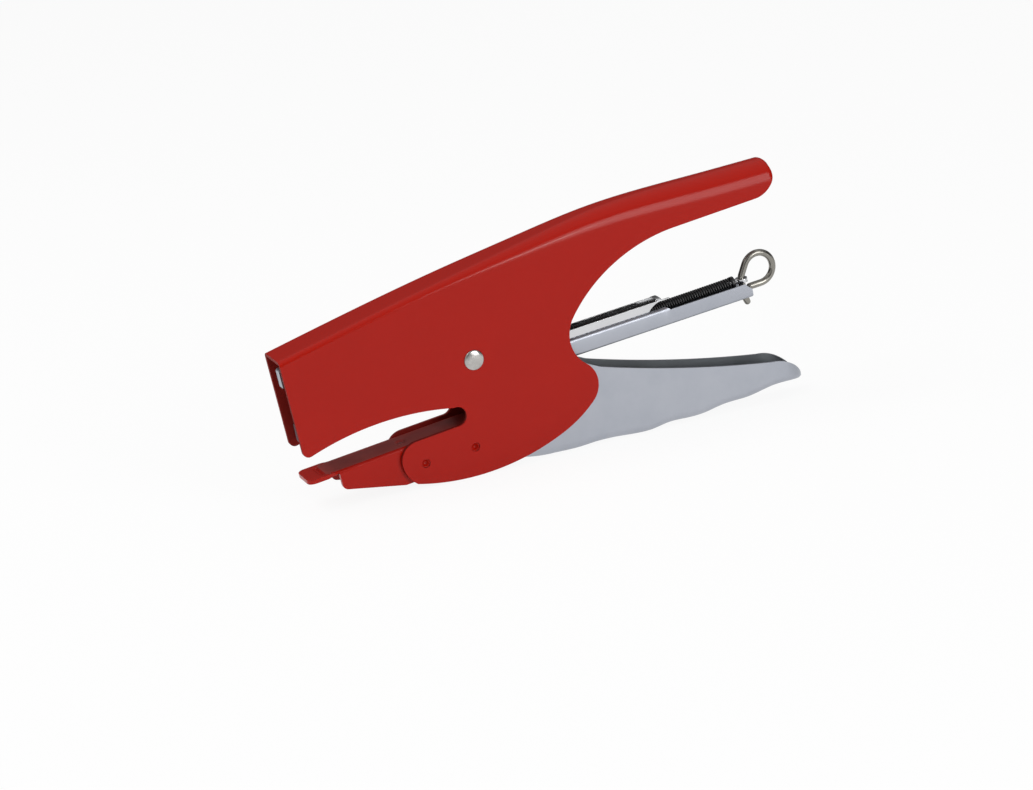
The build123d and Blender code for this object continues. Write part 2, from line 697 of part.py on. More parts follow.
with BuildPart() as lever_handle:
    with BuildSketch(SIDE):
        with BuildLine():
            below = -LEVER_TIP_DROP - OVERRUN
            beyond = LEVER_TIP_REACH + 2 * OVERRUN
            rim_end = (LEVER_TIP_REACH, LEVER_SHEET - LEVER_TIP_DROP)
            rim_curve = (LEVER_TIP_REACH - RIM_CURVE_AHEAD, RIM_CURVE_RISE - LEVER_TIP_DROP)
            rim_rear = (LEVER_TIP_REACH - RIM_REAR_AHEAD, RIM_REAR_RISE - LEVER_TIP_DROP)
            Polyline((LEVER_FOOT[0], below), (beyond, below), (beyond, rim_end[1]), rim_end)
            ThreePointArc(rim_end, rim_curve, rim_rear)
            ThreePointArc(rim_rear, RIM_MID, RIM_FRONT)
            Polyline(RIM_FRONT, HUB_REAR, HUB_FRONT, LEVER_FOOT, (LEVER_FOOT[0], below))
        make_face()
    extrude(amount=LEVER_HALF, both=True)
    add(grip_form(0), mode=Mode.INTERSECT)
    with BuildSketch(SIDE):
        Circle(HUB_ROUND)
        with BuildLine():
            Polyline(
                web_front,
                (-FORK_REACH, FORK_TOP - FORK_HEIGHT),
                HUB_FRONT,
                (0, HUB_ROUND),
                web_rear,
                close=True,
            )
        make_face()
    extrude(amount=LEVER_HALF, both=True)
    add(grip_form(LEVER_SHEET), mode=Mode.SUBTRACT)
    with BuildSketch(SIDE):
        with BuildLine():
            Polyline(
                (0, 2 * HUB_ROUND),
                (-WEB_REAR, 2 * HUB_ROUND),
                (-WEB_REAR, WEB_REAR_TOP - LEVER_SHEET),
                (-FORK_REACH, FORK_TOP - LEVER_SHEET),
                (-FORK_REACH, -2 * HUB_ROUND),
                (0, -2 * HUB_ROUND),
                close=True,
            )
        make_face()
    extrude(amount=LEVER_HALF - LEVER_SHEET, both=True, mode=Mode.SUBTRACT)
    with BuildSketch(SIDE):
        Circle(SLEEVE_RADIUS + RUNNING_FIT)
    extrude(amount=LEVER_HALF, both=True, mode=Mode.SUBTRACT)
    with BuildSketch(SIDE):
        with BuildLine():
            Polyline(
                web_front,
                (-TONGUE_REACH, FORK_TOP),
                (-TONGUE_REACH, FORK_TOP - HOOK_DEPTH),
                (-TONGUE_REACH + LEVER_SHEET, FORK_TOP - HOOK_DEPTH),
                (-TONGUE_REACH + LEVER_SHEET, FORK_TOP - LEVER_SHEET),
                (-FORK_REACH, FORK_TOP - LEVER_SHEET),
                close=True,
            )
        make_face()
    extrude(amount=TONGUE_WIDTH / 2, both=True)
lever_handle.part.label = "lever_handle"
export_step(lever_handle.part, "parts/lever_handle.step")


# Clamp spring under the fork's web, return spring under the housing's spine
def between(start, end, reach):
    """Height at a distance along the straight line between two points of the side view."""
    share = (reach - start[0]) / (end[0] - start[0])
    return start[1] + share * (end[1] - start[1])


def seat_plane(reach):
    """Top of a spring seat."""
    return plan_plane(MAG, SEAT_TOP + PIN_FIT).shift_origin(
        MAG.from_local_coords((reach, SEAT_TOP + PIN_FIT, 0))
    )


clamp_room = between(web_front, web_rear, -CLAMP_REACH) - LEVER_SHEET
clamp_top = on_magazine(-CLAMP_REACH, clamp_room).Y - SPRING_HEADROOM
clamp_spring = coil(
    seat_plane(-CLAMP_REACH).offset(COIL_WIRE / 2),
    clamp_top - SEAT_TOP,
    CLAMP_RADIUS,
    COIL_WIRE,
    CLAMP_TURNS,
)
clamp_spring.part.label = "clamp_spring"
export_step(clamp_spring.part, "parts/clamp_spring.step")

spine_room = between((0, PIVOT_TOP), (NECK_REACH, NECK_TOP), RETURN_REACH) - SHEET
return_top = on_magazine(RETURN_REACH, spine_room).Y - SPRING_HEADROOM
return_spring = coil(
    seat_plane(RETURN_REACH).offset(COIL_WIRE / 2),
    return_top - SEAT_TOP,
    RETURN_RADIUS,
    COIL_WIRE,
    RETURN_TURNS,
)
return_spring.part.label = "return_spring"
export_step(return_spring.part, "parts/return_spring.step")
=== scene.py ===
"""Looks of the hand plier stapler: pressed sheet pieces, round wire pieces, finishes, studio and camera.

Lengths are in millimetres from the pivot. A side view point is (back, up), a point of a flat blank is
(back, across), and a point in space is (back, across, up), in the frame of the housing or of the magazine.
"""
import json

import bmesh
import bpy
import numpy as np
from mathutils import Matrix, Vector
from mathutils.geometry import delaunay_2d_cdt


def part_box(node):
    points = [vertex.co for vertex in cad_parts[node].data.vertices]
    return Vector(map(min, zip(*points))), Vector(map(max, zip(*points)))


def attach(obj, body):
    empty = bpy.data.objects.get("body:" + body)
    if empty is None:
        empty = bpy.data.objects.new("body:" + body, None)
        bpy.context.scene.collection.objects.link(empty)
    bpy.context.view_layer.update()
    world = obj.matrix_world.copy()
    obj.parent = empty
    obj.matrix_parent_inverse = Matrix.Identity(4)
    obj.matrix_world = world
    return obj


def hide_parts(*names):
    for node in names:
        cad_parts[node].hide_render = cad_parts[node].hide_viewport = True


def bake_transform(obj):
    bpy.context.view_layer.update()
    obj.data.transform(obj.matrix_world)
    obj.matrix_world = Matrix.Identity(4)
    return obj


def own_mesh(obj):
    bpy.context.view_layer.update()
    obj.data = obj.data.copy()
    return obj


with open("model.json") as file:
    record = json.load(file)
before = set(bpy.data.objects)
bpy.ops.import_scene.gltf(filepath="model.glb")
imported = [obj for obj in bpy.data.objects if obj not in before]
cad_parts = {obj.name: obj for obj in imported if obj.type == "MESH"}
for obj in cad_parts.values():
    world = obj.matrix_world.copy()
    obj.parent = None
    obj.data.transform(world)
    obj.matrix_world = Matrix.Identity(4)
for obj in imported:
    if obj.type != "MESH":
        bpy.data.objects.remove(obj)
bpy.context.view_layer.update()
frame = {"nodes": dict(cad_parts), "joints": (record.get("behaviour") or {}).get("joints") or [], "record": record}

MM = 0.001
QUARTER = np.pi / 2

# Frames of the housing and of the magazine
joints = {joint["name"]: joint for joint in frame["joints"]}
mounts = {mount["name"]: mount for mount in frame["record"]["mounts"]}
PIVOT = np.array(joints["lever_squeeze"]["pos_m"])
body_up = np.array(mounts["anvil_face"]["axis"])
track = np.array(joints["loader_pull"]["axis"])
ACROSS = np.array([0.0, 1.0, 0.0])
BODY = np.stack([np.cross(ACROSS, body_up), ACROSS, body_up])
MAGAZINE = np.stack([track, ACROSS, np.cross(track, ACROSS)])

# Headings in the side view, and the mirror of a blank about its middle line
DOWN = (0, -1)
FORWARD = (-1, 0)
REARWARD = (1, 0)
OUTWARD = (0, 1)
MIRROR = [1, -1]
FAR_SIDE = [1, -1, 1]

# Mesh limits
SAME_POINT = 1e-4  # nearer points of an outline are one
SLIVER = 1e-3  # a blank's triangles with twice their area under this are left out
FILL_LIMIT = 1e-7  # accuracy of a blank's triangles
CHUNKS = 20  # parts in which a blank's inner points are measured, to save memory
MERGED = 1e-6  # in metres: nearer corners of a mesh are one
SHARP_EDGE = np.radians(50)

# Housing: its section, then the lower edge of the side view from the nose round to the handle's end
HOUSING_HALF = 6.7
SHEET = 1.2
HOUSING_EDGE = 0.3
SPINE = [  # back, top and corner radius at each station
    (-57.0, 17.8, 1.5),
    (0.0, 25.0, 2.3),
    (23.0, 27.3, 3.5),
    (46.0, 29.2, 5.0),
    (80.0, 28.0, 6.2),
    (99.6, 26.8, 6.2),
]
CORNER_RANGE = (1.4, 6.3)
NOSE = -54.5
NOSE_TOP = (NOSE, 17.0)
NOSE_FOOT = (NOSE, -9.0)
NOSE_TOE = (-52.3, -10.75)
THROAT_ROOF = (-29.2, -8.3)
THROAT_TOP = (-9.1, -11.5)
THROAT_END = (-5.9, -14.7)
THROAT_FLOOR = (-9.1, -17.2)
LUG_TOP = (-22.2, -17.2)
LUG_FRONT = (-27.6, -22.6)
LUG_FOOT = (-24.6, -29.4)
BELLY = (-1.0, -33.5)
BELLY_REAR = (21.0, -29.9)
REAR_CORNERS = [(31.9, -24.0), (32.4, -12.5), (31.8, 2.2), (45.9, 12.7)]
HANDLE_ROOT = (68.0, 17.5)
HANDLE_UNDER = (93.7, 17.5)
HANDLE_END = 101.3
HANDLE_BACK = (HANDLE_END, 25.1)
END_ROUND = 1.7
RIVETS = [(-20.9, -24.3), (-5.6, -24.8)]
RIVET_HOLE = 1.32
PIN_HOLE = 1.52
# Points that carry the housing's bend: rows along it, closer at the end, and a coarse lattice on its faces
ROW_STEP = 1.3
LAST_ROW = 96.0
END_ROWS = np.linspace(96.5, HANDLE_END, 14)
BEND_POINTS = 11
TOP_SHARES = [0, 0.35, 0.7]
FACE_STEP = 4.0
FACE_SPAN = (12, 60)
OFF_MIDDLE = 0.01

# Anvil arm: tongue, walls, clinching groove, dimpled hole, and the upper face that gets a painted shade
ARM_HALF = 5.45
ARM_TOP = -18.05
ARM_BOTTOM = -28.94
ARM_REAR = -1.6
ARM_BEND = 0.9
ARM_EDGE = 0.15
TONGUE_FRONT = -54.7
TONGUE_ROUND = 2.2
TONGUE_BEND = 0.02
BEND_RUNOUT = 2.0
WALL_FRONT = -45.5
WALL_SLACK = 0.01
WALL_TOP = -19.2
WALL_FOOT = -23.75
WALL_KNEE = -27.6
WALL_ROUND = 1.8
NOTCH_LENGTH = 0.6
NOTCH_STEP = 0.05
GROOVE = -50.0
GROOVE_HALF = 2.9
GROOVE_FLAT = 0.25
GROOVE_SLOPE = 0.5
GROOVE_DEPTH = 0.5
ARM_HOLE = (-24.9, 0)
ARM_HOLE_RADIUS = 0.95
DIMPLE_RADIUS = 1.75
DIMPLE_SLOPE = 0.8
DIMPLE_DEPTH = 0.45
# the upper face given painted shade: from here back, this wide, down to this depth
SHADED_FACE_FRONT = -49.0
SHADED_FACE_HALF = 4.6
SHADED_FACE_DEPTH = 0.6
# Points that carry the arm's form: fine round the groove, rings round the hole, rows in the bends
GROOVE_ROWS = GROOVE + np.arange(-1.2, 1.3, 0.2)
GROOVE_COLUMNS = np.arange(-4.2, 4.3, 0.3)
DIMPLE_RINGS = (1.15, 1.35, 1.55, 1.75, 2.0)
ARM_ROWS = np.arange(-55, ARM_REAR, 1.0)
COARSE_ROWS = np.arange(-55, ARM_REAR, 1.5)
COARSE_COLUMNS = np.arange(-16, 16.1, 2.0)
GROOVE_CLEAR = 1.5
BEND_CLEAR = 1.2
OUTLINE_CLEAR = 0.7
HOLE_CLEAR = 2.3

# Rivets: (radius, across) of a dished end, and the low dome of the pivot's
DISH = [(0, 5.5), (0.35, 5.56), (0.65, 5.8), (0.86, 6.16)]
DISH += [(1.02, 6.4), (1.18, 6.46), (1.27, 6.4), (1.3, 6.3)]
DOME_RADIUS = 2.9
DOME_RISE = 0.66
DOME_FOOT = 0.12
DOME_LIP = 0.04
DOME_GAP = 0.01
PIN_RADIUS = 1.5
PIN_INNER = 4.0

# Squeeze lever: rim and underside of the grip, its boat tail, and the fork and hook inside the housing
LEVER_HALF = 5.25
LEVER_SHEET = 0.8
LEVER_EDGE = 0.14
LEVER_CORNER = 1.8
LEVER_FRONT = 3.0
LEVER_TIP = 99.2
EAR_TOP = (LEVER_FRONT, 5.26)
RIM_START = (36.7, -15.4)
RIM_MIDDLE = (63.6, -25.2)
RIM_REAR = (89.1, -32.4)
TAIL_RIM = (95.6, -35.3)
TAIL_TIP = (LEVER_TIP, -40.8)
UNDERSIDE = [(-6.2, -32.6), (3.0, -32.6), (12.9, -35.2), (19.5, -36.25), (25.5, -36.95), (31.0, -37.2)]
UNDERSIDE += [(37.0, -37.9), (43.0, -39.05), (49.0, -39.65), (54.0, -39.4), (59.5, -40.05), (65.0, -40.5)]
UNDERSIDE += [(72.0, -40.05), (80.0, -40.5), (88.5, -39.9), (94.0, -40.4), (99.2, -41.6), (101.7, -42.35)]
TAIL_START = 89.0
TAIL_POWER = 3.2
TAIL_CROWDING = 1.8
DEPTH_SHARE = 0.9
WIDTH_SHARE = 0.95
LEAST_CORNER = 1e-3
CHEEK_FOOT = (LEVER_FRONT, -30.8)
CHEEK_FRONT = (-4.8, -3.6)
FORK_LOW = (-46.5, 8.5)
FORK_TOP = (-46.5, 14.5)
FORK_REAR = (-12.0, 8.0)
FORK_INSIDE = (-20.0, 6.0)
EAR_CROWN = (0, 6.2)
HOOK_CORNERS = [(-46.0, 14.4), (-53.9, 14.4), (-53.9, 9.0)]
HOOK_BEND = 0.9
HOOK_HALF = 1.5
PIVOT_HOLE = 2.05

# Magazine: channel with turned-in lips, a lower tail with a slot for the ring's leg, and ears on the pivot
MAG_HALF = 3.85
MAG_SHEET = 0.6
MAG_EDGE = 0.1
MAG_BOTTOM = -9.9
MAG_TOP = -4.55
MAG_BEND = 0.9
MAG_FRONT = -50.4
MAG_REAR = 88.5
LIP_BEND = 1.0
LIP_HALF = 2.8
LIPS_END = 61.0
TAIL_STEP = 62.3
TAIL_WALL = 4.45
TAIL_CUT = 86.5
LEG_REACH = 87.2
SLOT_HALF = 1.15
EAR_FOOT = [(8.0, -5.25), (-8.0, -5.25)]
EAR_ROUND = 4.2
EAR_INSIDE = (0.0, -3.5)
BEND_STEP = 1.6
BENDS_END = 88

# Pusher trough: far wall and floor end square, the near wall runs out in a curve, and a strap joins them
PUSHER_HALF = 2.65
PUSHER_SHEET = 0.4
PUSHER_EDGE = 0.08
PUSHER_BOTTOM = -9.15
PUSHER_TOP = -2.2
PUSHER_BEND = 0.8
PUSHER_FRONT = -50.1
FAR_END = 60.6
FAR_DROP = 1.2
FLOOR_END = 59.5
FLOOR_HALF = 2.0
NEAR_START = 54.4
NEAR_LEDGE = 1.2
NEAR_HEADING = (0.35, -1)
NEAR_END = 63.0
NEAR_TIP = (0.1, 0.3)
STRAP_FRONT = 59.1
STRAP_LENGTH = 1.5
STRAP_HALF = 2.3
STRAP_TOP = -2.05
STRAP_FALL = 0.25
STRAP_SHEET = 0.35

# Springs: the pusher's close coil on its rod, and two upright coils on the magazine's seats
ROD_LINE = -5.1
SPRING_FRONT = -45.8
SPRING_REAR = 83.4
SPRING_RADIUS = 1.55
SPRING_TURNS = 170
SPRING_WIRE = 0.62
SPRING_SAG = 0.33
SEAT_TOP = -1.25
SEAT_WIRE = 0.8
SEAT_LIFT = 0.45
SEAT_PLAY = 1.0

# Pull ring: loop, then a leg down through the magazine's slot
RING_CENTRE = (93.1, -3.2)
RING_RADIUS = 4.6
RING_SWEEP = (-90, 149)
RING_START = (88.4, -7.8)
RING_WIRE = 1.0
LEG_CORNERS = [(LEG_REACH, -4.2), (LEG_REACH, MAG_BOTTOM), (88.1, -12.9)]
LEG_BEND = 1.5

NODE_EDGE = 0.08

# Studio: floor and lamps in metres and watts, as name, place, target, size and power
FLOOR_REACH = 8
FLOOR_GLOW = 0.9
LAMPS = [
    ("front_right", (0.455, -0.93, 0.39), (0.045, 0, 0.065), (0.4, 0.7), 4.1),
    ("front_lamp", (0.24, -0.93, 0.367), (0.03, 0, 0.06), (0.06, 0.06), 0.6),
    ("over_left", (-0.55, 0.1, 0.8), (0, 0, 0.05), (0.5, 0.5), 3),
    ("camera_left", (-0.9, -0.7, 0.55), (0, 0, 0.03), (0.8, 0.8), 1.2),
]

# Camera at the photo's angle, fitted to the outline: place, line of sight and up in the housing's frame
CAMERA_PLACE = (-250.3, -803.3, 293.0)
CAMERA_SIGHT = (0.2914, 0.8925, -0.3442)
CAMERA_UP = (0.3259, 0.2457, 0.9129)
CAMERA_LENS = 110.05
CAMERA_SENSOR = 36


# Curves of the side view
def spline(at, knots, heights):
    """Natural cubic spline through knots: second differences solved as one linear system, then evaluated."""
    knots = np.asarray(knots, float)
    heights = np.asarray(heights, float)
    step = np.diff(knots)
    slope = np.diff(heights) / step
    system = np.eye(len(knots))
    inner = np.arange(1, len(knots) - 1)
    system[inner, inner - 1] = step[:-1]
    system[inner, inner] = 2 * (step[:-1] + step[1:])
    system[inner, inner + 1] = step[1:]
    bend = np.linalg.solve(system, np.concatenate([[0], 6 * np.diff(slope), [0]]))
    cell = np.clip(np.searchsorted(knots, at) - 1, 0, len(step) - 1)
    ahead = knots[cell + 1] - at
    behind = at - knots[cell]
    width = step[cell]
    curved = (bend[cell] * ahead**3 + bend[cell + 1] * behind**3) / (6 * width)
    left = (heights[cell] / width - bend[cell] * width / 6) * ahead
    right = (heights[cell + 1] / width - bend[cell + 1] * width / 6) * behind
    return curved + left + right


def onward(start, heading, end, step=0.8):
    """Arc from start along heading to end: radius is chord squared over twice its sideways part."""
    start = np.asarray(start, float)
    chord = np.asarray(end, float) - start
    heading = np.asarray(heading, float) / np.linalg.norm(heading)
    sideways = np.array([-heading[1], heading[0]])
    turn = 2 * np.arctan2(chord @ sideways, chord @ heading)
    radius = chord @ chord / (2 * chord @ sideways)
    count = max(3, int(abs(radius * turn) / step) + 1)
    angle = np.linspace(0, turn, count)[:, None]
    points = start + radius * (np.sin(angle) * heading + (1 - np.cos(angle)) * sideways)
    return points, np.cos(turn) * heading + np.sin(turn) * sideways


def through(start, middle, end, step=0.8):
    """Arc through three points: the whole chord turned back by the angle between its two parts heads it."""
    start, middle, end = (np.asarray(point, float) for point in (start, middle, end))
    first = middle - start
    last = end - middle
    whole = end - start
    bent = np.arctan2(first[0] * last[1] - first[1] * last[0], first @ last)
    back = np.cos(bent) * whole[0] + np.sin(bent) * whole[1]
    up = np.cos(bent) * whole[1] - np.sin(bent) * whole[0]
    return onward(start, (back, up), end, step)


def straight(*corners, step=0.8):
    """Points along straight lines between corners."""
    corners = np.asarray(corners, float)
    runs = [
        np.linspace(a, b, max(2, int(np.linalg.norm(b - a) / step) + 1))[:-1]
        for a, b in zip(corners[:-1], corners[1:])
    ]
    return np.concatenate([*runs, corners[-1:]])


def rounded(corners, radius, step=0.3):
    """Straight lines between corners, each inner corner replaced by an arc of that radius."""
    corners = np.asarray(corners, float)
    pieces = [corners[:1]]
    for before, corner, after in zip(corners[:-2], corners[1:-1], corners[2:]):
        back = (before - corner) / np.linalg.norm(before - corner)
        ahead = (after - corner) / np.linalg.norm(after - corner)
        reach = radius / np.tan(np.arccos(np.clip(back @ ahead, -1, 1)) / 2)
        pieces.append(onward(corner + reach * back, -back, corner + reach * ahead, step)[0])
    pieces.append(corners[-1:])
    return straight(*np.concatenate(pieces), step=2 * step)


def ring_of(centre, radius, count):
    """Points round a circle, without the closing one."""
    turn = np.arange(count) * 2 * np.pi / count
    return np.asarray(centre) + radius * np.stack([np.cos(turn), np.sin(turn)], 1)


def distinct(points):
    """The points of a loop without those that repeat the one before."""
    gap = np.linalg.norm(points - np.roll(points, 1, axis=0), axis=1)
    return points[gap > SAME_POINT]


def mirrored(half):
    """Closed loop from its half: the same points run back with their second value negated."""
    half = np.asarray(half, float)
    return distinct(np.concatenate([half, half[::-1] * MIRROR]))


# Flat blanks and their bends
def lattice(rows, columns):
    """Blank points at every row and column."""
    return np.stack(np.meshgrid(rows, columns), -1).reshape(-1, 2)


def by_row(rows, distances):
    """Blank points at each row's own distances across."""
    return np.stack([np.repeat(rows, distances.shape[1]), distances.ravel()], 1)


def enclosed(points, loops):
    """Whether points lie inside the outline and outside the holes: a ray crosses an odd count of edges."""
    crossed = np.zeros(len(points), int)
    for loop in loops:
        a = loop[None]
        b = np.roll(loop, -1, axis=0)[None]
        spans = (a[..., 1] > points[:, None, 1]) != (b[..., 1] > points[:, None, 1])
        rise = np.where(b[..., 1] == a[..., 1], 1, b[..., 1] - a[..., 1])
        meets = a[..., 0] + (points[:, None, 1] - a[..., 1]) * (b[..., 0] - a[..., 0]) / rise
        crossed += (spans & (meets > points[:, None, 0])).sum(axis=1)
    return crossed % 2 == 1


def clearance(points, loop):
    """Distance from each point to the nearest point of a loop."""
    parts = np.array_split(points, CHUNKS)
    return np.concatenate([np.linalg.norm(part[:, None] - loop[None], axis=2).min(axis=1) for part in parts])


def blank(loops, inner, margin):
    """Sheet before bending: triangles that fill the outline, less holes and slivers, with inner points."""
    rim = np.concatenate(loops)
    inner = inner[(clearance(inner, rim) > margin) & enclosed(inner, loops)]
    starts = np.cumsum([0] + [len(loop) for loop in loops])
    edges = [
        np.stack([start + np.arange(len(loop)), start + (np.arange(len(loop)) + 1) % len(loop)], 1)
        for start, loop in zip(starts, loops)
    ]
    spots = np.concatenate([rim, inner]).tolist()
    filled = delaunay_2d_cdt(spots, np.concatenate(edges).tolist(), [], 0, FILL_LIMIT)
    points = np.array(filled[0])
    faces = np.array(filled[2])
    corners = points[faces]
    first = corners[:, 1] - corners[:, 0]
    second = corners[:, 2] - corners[:, 0]
    doubled = np.abs(first[:, 0] * second[:, 1] - first[:, 1] * second[:, 0])
    faces = faces[enclosed(corners.mean(axis=1), loops) & (doubled > SLIVER)]
    used = np.unique(faces)
    return points[used], np.searchsorted(used, faces)


def folded(out, half, bend):
    """Bends distances out from the middle round a corner arc that ends at half.

    Gives how far each reaches sideways, how far it has turned off the flat, and how far it runs past the arc.
    """
    turn = np.clip((out - half + bend) / bend, 0, QUARTER)
    side = np.minimum(out, np.maximum(half - bend, 0)) + bend * np.sin(turn)
    return side, bend * (1 - np.cos(turn)), np.maximum(out - half + bend - bend * QUARTER, 0)


def past_bend(half, bend):
    """Distance out on a blank where the wall starts: the flat and the length of the corner arc."""
    return half - bend + bend * QUARTER


# Meshes
def placed(points, axes):
    """Points (back, across, up) from the pivot in millimetres, in the row frame in metres."""
    return PIVOT + np.asarray(points, float) * MM @ axes


def upright(flat, across):
    """Side view points as points in space at one distance across."""
    return np.stack([flat[:, 0], np.full(len(flat), across), flat[:, 1]], 1)


def lattice_faces(rows, columns, closed=False):
    """Four-sided faces of a lattice of points, closed round its columns or not."""
    row, column = np.meshgrid(np.arange(rows - 1), np.arange(columns - (not closed)), indexing="ij")
    following = (column + 1) % columns
    corners = [row * columns + column, row * columns + following]
    corners += [(row + 1) * columns + following, (row + 1) * columns + column]
    return np.stack(corners, -1).reshape(-1, 4)


def joined(*parts):
    """Points and faces of several surfaces as one."""
    starts = np.cumsum([0] + [len(points) for points, _ in parts])
    faces = [(face + start).tolist() for (_, face), start in zip(parts, starts)]
    return np.concatenate([points for points, _ in parts]), sum(faces, [])


def round_edges(obj, width):
    """Rounds an object's sharp edges by a small radius, so that they catch light."""
    edge = obj.modifiers.new("edge", "BEVEL")
    edge.width = width * MM
    edge.segments = 2
    edge.limit_method = "ANGLE"
    edge.angle_limit = SHARP_EDGE
    edge.harden_normals = True


def piece(
    name, body, finish, points, faces, stands_for=(), wall=0, edge=0, closed=False, inside=None, rims=0
):
    """A smooth piece on a CAD body: wall thickens a sheet inwards, edge rounds it, inside finishes its back.

    With rims at 1 the cut edges have the finish of the inside.
    """
    mesh = bpy.data.meshes.new(name)
    mesh.from_pydata(np.asarray(points).tolist(), [], np.asarray(faces, object).tolist())
    work = bmesh.new()
    work.from_mesh(mesh)
    bmesh.ops.remove_doubles(work, verts=work.verts, dist=MERGED)
    if closed:
        bmesh.ops.recalc_face_normals(work, faces=work.faces)
    work.to_mesh(mesh)
    work.free()
    mesh.shade_smooth()
    obj = bpy.data.objects.new(name, mesh)
    bpy.context.scene.collection.objects.link(obj)
    if wall:
        sheet = obj.modifiers.new("sheet", "SOLIDIFY")
        sheet.thickness = wall * MM
        sheet.offset = -1
        sheet.use_quality_normals = True
        sheet.material_offset = 1 if inside else 0
        sheet.material_offset_rim = rims
    if edge:
        round_edges(obj, edge)
    mesh.materials.append(finish)
    if inside:
        mesh.materials.append(inside)
    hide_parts(*stands_for)
    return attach(obj, body) if body else obj


def second_finish(obj, finish, axes, chosen):
    """Gives a second finish to the faces whose middle, as (back, across, up), is chosen."""
    mesh = obj.data
    middles = np.empty(3 * len(mesh.polygons))
    mesh.polygons.foreach_get("center", middles)
    middles = (middles.reshape(-1, 3) - PIVOT) @ axes.T / MM
    mesh.materials.append(finish)
    mesh.polygons.foreach_set("material_index", chosen(*middles.T).astype(np.int32))


def tube(line, size, out, up, sides):
    """Round wire: a circle of each point's size, in the plane of two unit vectors, carried along a line."""
    turn = np.arange(sides) * 2 * np.pi / sides
    circle = np.cos(turn)[:, None] * out[:, None] + np.sin(turn)[:, None] * up[:, None]
    points = line[:, None] + size[:, None, None] * circle
    return points.reshape(-1, 3), lattice_faces(len(line), sides, closed=True)


def wire(path, radius, sides, rounding=4):
    """Round wire along a path in the side plane, its ends drawn in as quarter circles."""
    ahead = np.gradient(path, axis=0)
    ahead /= np.linalg.norm(ahead, axis=1)[:, None]
    inward = np.cumsum(np.linalg.norm(np.diff(path, axis=0, prepend=path[:1]), axis=1))
    keep = (inward > radius) & (inward < inward[-1] - radius)
    swell = np.linspace(0, QUARTER, rounding, endpoint=False)
    start = path[:1] + (1 - np.cos(swell))[:, None] * radius * ahead[:1]
    end = path[-1:] - (1 - np.cos(swell[::-1]))[:, None] * radius * ahead[-1:]
    line = np.concatenate([start, path[keep], end])
    first = np.repeat(ahead[:1], rounding, 0)
    last = np.repeat(ahead[-1:], rounding, 0)
    tangent = np.concatenate([first, ahead[keep], last])
    size = np.concatenate([np.sin(swell), np.ones(keep.sum()), np.sin(swell[::-1])]) * radius
    out = np.cross(tangent, ACROSS)
    return tube(line, size, out, np.cross(out, tangent), sides)


def coil(start, axis, length, radius, turns, thick, steps=24, sides=8):
    """Coil spring: round wire along a helix, its angle and advance in proportion to one parameter."""
    axis = np.asarray(axis, float)
    side = np.cross(axis, ACROSS)
    share = np.linspace(0, 1, int(turns * steps) + 1)[:, None]
    angle = share * turns * 2 * np.pi
    out = np.cos(angle) * side + np.sin(angle) * np.cross(axis, side)
    line = np.asarray(start) + axis * share * length + radius * out
    ahead = np.gradient(line, axis=0)
    ahead /= np.linalg.norm(ahead, axis=1)[:, None]
    size = np.full(len(line), thick / 2)
    size[[0, -1]] = 0
    return tube(line, size, out, np.cross(ahead, out), sides)


def turned(profile, centre, sides):
    """Turned piece about a line across the tool: (radius, across) pairs carried round the centre."""
    turn = np.arange(sides) * 2 * np.pi / sides
    back = centre[0] + profile[:, :1] * np.cos(turn)
    up = centre[1] + profile[:, :1] * np.sin(turn)
    across = np.repeat(profile[:, 1:], sides, axis=1)
    points = np.stack([back, across, up], -1)
    return points.reshape(-1, 3), lattice_faces(len(profile), sides, closed=True)


# Finishes
def linear(code):
    """Linear colour of an sRGB hex code."""
    values = np.array([int(code[i : i + 2], 16) for i in (1, 3, 5)]) / 255
    values = np.where(values <= 0.04045, values / 12.92, ((values + 0.055) / 1.055) ** 2.4)
    return (*values.tolist(), 1.0)


def node(tree, kind, inputs=(), **properties):
    """Adds a shader node: its properties, then its inputs, each a value or the output that feeds it."""
    new = tree.nodes.new(kind)
    for name, value in properties.items():
        setattr(new, name, value)
    for socket, value in dict(inputs).items():
        if isinstance(value, bpy.types.NodeSocket):
            tree.links.new(value, new.inputs[socket])
        else:
            new.inputs[socket].default_value = value
    return new


def finish_of(name, light, dark, cloud, rough, grain, relief, stretch=(1, 1, 1), **shader_values):
    """A finish: two tones in clouds, roughness between two values with them, and a fine relief.

    Clouds and grain are as many mm wide as cloud and grain say, and the relief is so many mm deep.
    """
    material = bpy.data.materials.new(name)
    material.use_nodes = True
    tree = material.node_tree
    shader = tree.nodes["Principled BSDF"]
    place = node(tree, "ShaderNodeTexCoord").outputs["Object"]
    stretched = node(tree, "ShaderNodeMapping", {"Vector": place, "Scale": stretch}).outputs["Vector"]
    clouds = node(
        tree,
        "ShaderNodeTexNoise",
        {"Vector": place, "Scale": 1 / (cloud * MM), "Detail": 3.0, "Roughness": 0.55},
    ).outputs["Fac"]
    fine = node(
        tree, "ShaderNodeTexNoise", {"Vector": stretched, "Scale": 1 / (grain * MM), "Detail": 2.0}
    ).outputs["Fac"]
    tone = node(
        tree,
        "ShaderNodeMix",
        {"Factor": clouds, 6: linear(light), 7: linear(dark)},
        data_type="RGBA",
    ).outputs[2]
    haze = node(
        tree,
        "ShaderNodeMapRange",
        {"Value": clouds, "From Min": 0.3, "From Max": 0.7, "To Min": rough[0], "To Max": rough[1]},
    ).outputs["Result"]
    bump = node(
        tree, "ShaderNodeBump", {"Height": fine, "Strength": 1.0, "Distance": relief * MM}
    ).outputs["Normal"]
    tree.links.new(tone, shader.inputs["Base Color"])
    tree.links.new(haze, shader.inputs["Roughness"])
    tree.links.new(bump, shader.inputs["Normal"])
    for socket, value in shader_values.items():
        shader.inputs[socket.replace("_", " ")].default_value = value
    return material


ROLLED = (0.05, 1, 1)  # draws the grain out along the sheet

